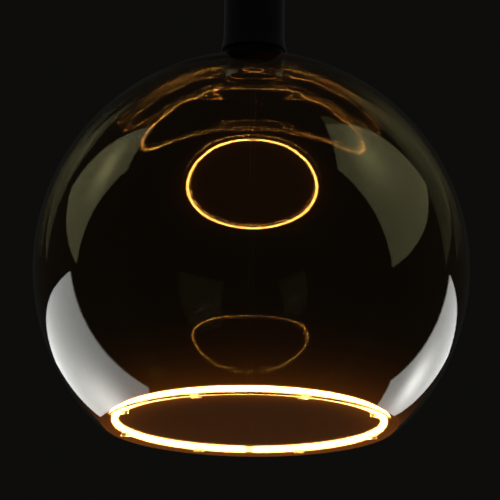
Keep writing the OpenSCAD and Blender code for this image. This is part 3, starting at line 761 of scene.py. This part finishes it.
def mirrored(tree):
    """1 for rays that have met a clear mirror reflection on the way, 0 for all others."""
    path = tree.nodes.new("ShaderNodeLightPath").outputs
    reflected = maths(tree, "GREATER_THAN", path["Glossy Depth"], 0.5)  # one reflection or more
    return maths(tree, "MULTIPLY", reflected, path["Is Singular Ray"])


def soft(tree):
    """1 for rays that come off a matt or satin surface seen directly or through glass, 0 for all others."""
    path = tree.nodes.new("ShaderNodeLightPath").outputs
    direct = maths(tree, "LESS_THAN", path["Glossy Depth"], 1.5)  # one reflection at most
    sharp = maths(tree, "MAXIMUM", path["Is Camera Ray"], path["Is Singular Ray"])
    return maths(tree, "MULTIPLY", maths(tree, "SUBTRACT", 1, sharp), direct)


def make_floor():
    """Pale floor well below the hanging lamp, clear from beneath; mirror reflections leave it out, like the room."""
    corners = [(FLOOR_HALF * x, FLOOR_HALF * y, FLOOR_Z) for x, y in ((-1, -1), (1, -1), (1, 1), (-1, 1))]
    mesh = bpy.data.meshes.new("floor")
    mesh.from_pydata(corners, [], [(0, 1, 2, 3)])
    material = bpy.data.materials.new("floor")
    material.use_nodes = True
    tree = material.node_tree
    pale = tree.nodes["Principled BSDF"]
    pale.inputs["Base Color"].default_value = (*FLOOR_COLOUR, 1)
    pale.inputs["Roughness"].default_value = FLOOR_ROUGHNESS
    dark = tree.nodes.new("ShaderNodeEmission")
    dark.inputs["Color"].default_value = (*MIRROR_COLOUR, 1)
    above = mix_shaders(tree, mirrored(tree), pale.outputs[0], dark.outputs[0])
    beneath = tree.nodes.new("ShaderNodeBsdfTransparent").outputs[0]
    from_beneath = tree.nodes.new("ShaderNodeNewGeometry").outputs["Backfacing"]
    surface = mix_shaders(tree, from_beneath, above, beneath)
    tree.links.new(surface, tree.nodes["Material Output"].inputs["Surface"])
    mesh.materials.append(material)
    floor = bpy.data.objects.new("floor", mesh)
    bpy.context.scene.collection.objects.link(floor)


def make_world():
    """Dark room behind the lamp and in its reflections, and a soft fill for what matt surfaces receive."""
    world = bpy.data.worlds.new("world")
    bpy.context.scene.world = world
    world.use_nodes = True
    tree = world.node_tree
    fill = tree.nodes["Background"]
    room, mirror = (tree.nodes.new("ShaderNodeBackground") for _ in range(2))
    for background, colour in ((fill, FILL_COLOUR), (room, ROOM_COLOUR), (mirror, MIRROR_COLOUR)):
        background.inputs["Color"].default_value = (*colour, 1)
    dark = mix_shaders(tree, mirrored(tree), room.outputs[0], mirror.outputs[0])
    surface = mix_shaders(tree, soft(tree), dark, fill.outputs[0])
    tree.links.new(surface, tree.nodes["World Output"].inputs["Surface"])


def make_softbox(name, centre, normal, turn, size, spot, hot, edge, spread):
    """Rectangular softbox that faces along normal; turn rolls it about that direction.

    Its radiance falls from hot at the spot, a place from 0 to 1 on each side, to edge, over that spread in metres.
    """
    normal = Vector(normal).normalized()
    across = Z_AXIS.cross(normal).normalized()
    across, upward = rolled(across, normal.cross(across), turn)
    data = bpy.data.lights.new(name, "AREA")
    data.shape = "RECTANGLE"
    data.size, data.size_y = size
    data.energy = math.pi * size[0] * size[1]
    data.color = SOFTBOX_TINT
    data.use_nodes = True
    tree = data.node_tree
    place = tree.nodes.new("ShaderNodeSeparateXYZ")
    tree.links.new(tree.nodes.new("ShaderNodeNewGeometry").outputs["Parametric"], place.inputs[0])
    squares = []
    for i in range(2):
        off = maths(tree, "MULTIPLY_ADD", place.outputs[i], size[i] / spread, -spot[i] * size[i] / spread)
        squares.append(maths(tree, "POWER", off, 2))
    fall = maths(tree, "POWER", 1 / math.e, maths(tree, "ADD", *squares))
    tree.links.new(maths(tree, "MULTIPLY_ADD", fall, hot - edge, edge), tree.nodes["Emission"].inputs["Strength"])
    light = bpy.data.objects.new(name, data)
    light.matrix_world = placed(centre, across, upward, normal) @ Matrix.Rotation(math.pi, 4, "X")
    light.visible_camera = False
    bpy.context.scene.collection.objects.link(light)


make_camera()
make_floor()
make_world()
make_softbox(
    "softbox_left",
    centre=(-0.312, 0.198, -0.185),
    normal=(0.888, -0.430, -0.162),
    turn=math.radians(-1.8),
    size=(0.342, 0.516),
    spot=(0.57, 0.48),
    hot=4.3,
    edge=1.7,
    spread=0.10,
)
make_softbox(
    "softbox_right",
    centre=(0.500, 0.404, -0.171),
    normal=(-0.537, -0.805, -0.252),
    turn=math.radians(12.8),
    size=(0.318, 0.592),
    spot=(0.48, 0.48),
    hot=4.8,
    edge=1.7,
    spread=0.095,
)

bpy.context.scene.view_settings.view_transform = "Standard"

# The ring shows through many see-through surfaces and in several reflections, which takes long paths.
cycles = bpy.context.scene.cycles
cycles.sample_clamp_indirect = 0
cycles.min_light_bounces = 10
cycles.max_bounces = 20
cycles.glossy_bounces = 6
cycles.transmission_bounces = 16
cycles.transparent_max_bounces = 32
cycles.min_transparent_bounces = 32
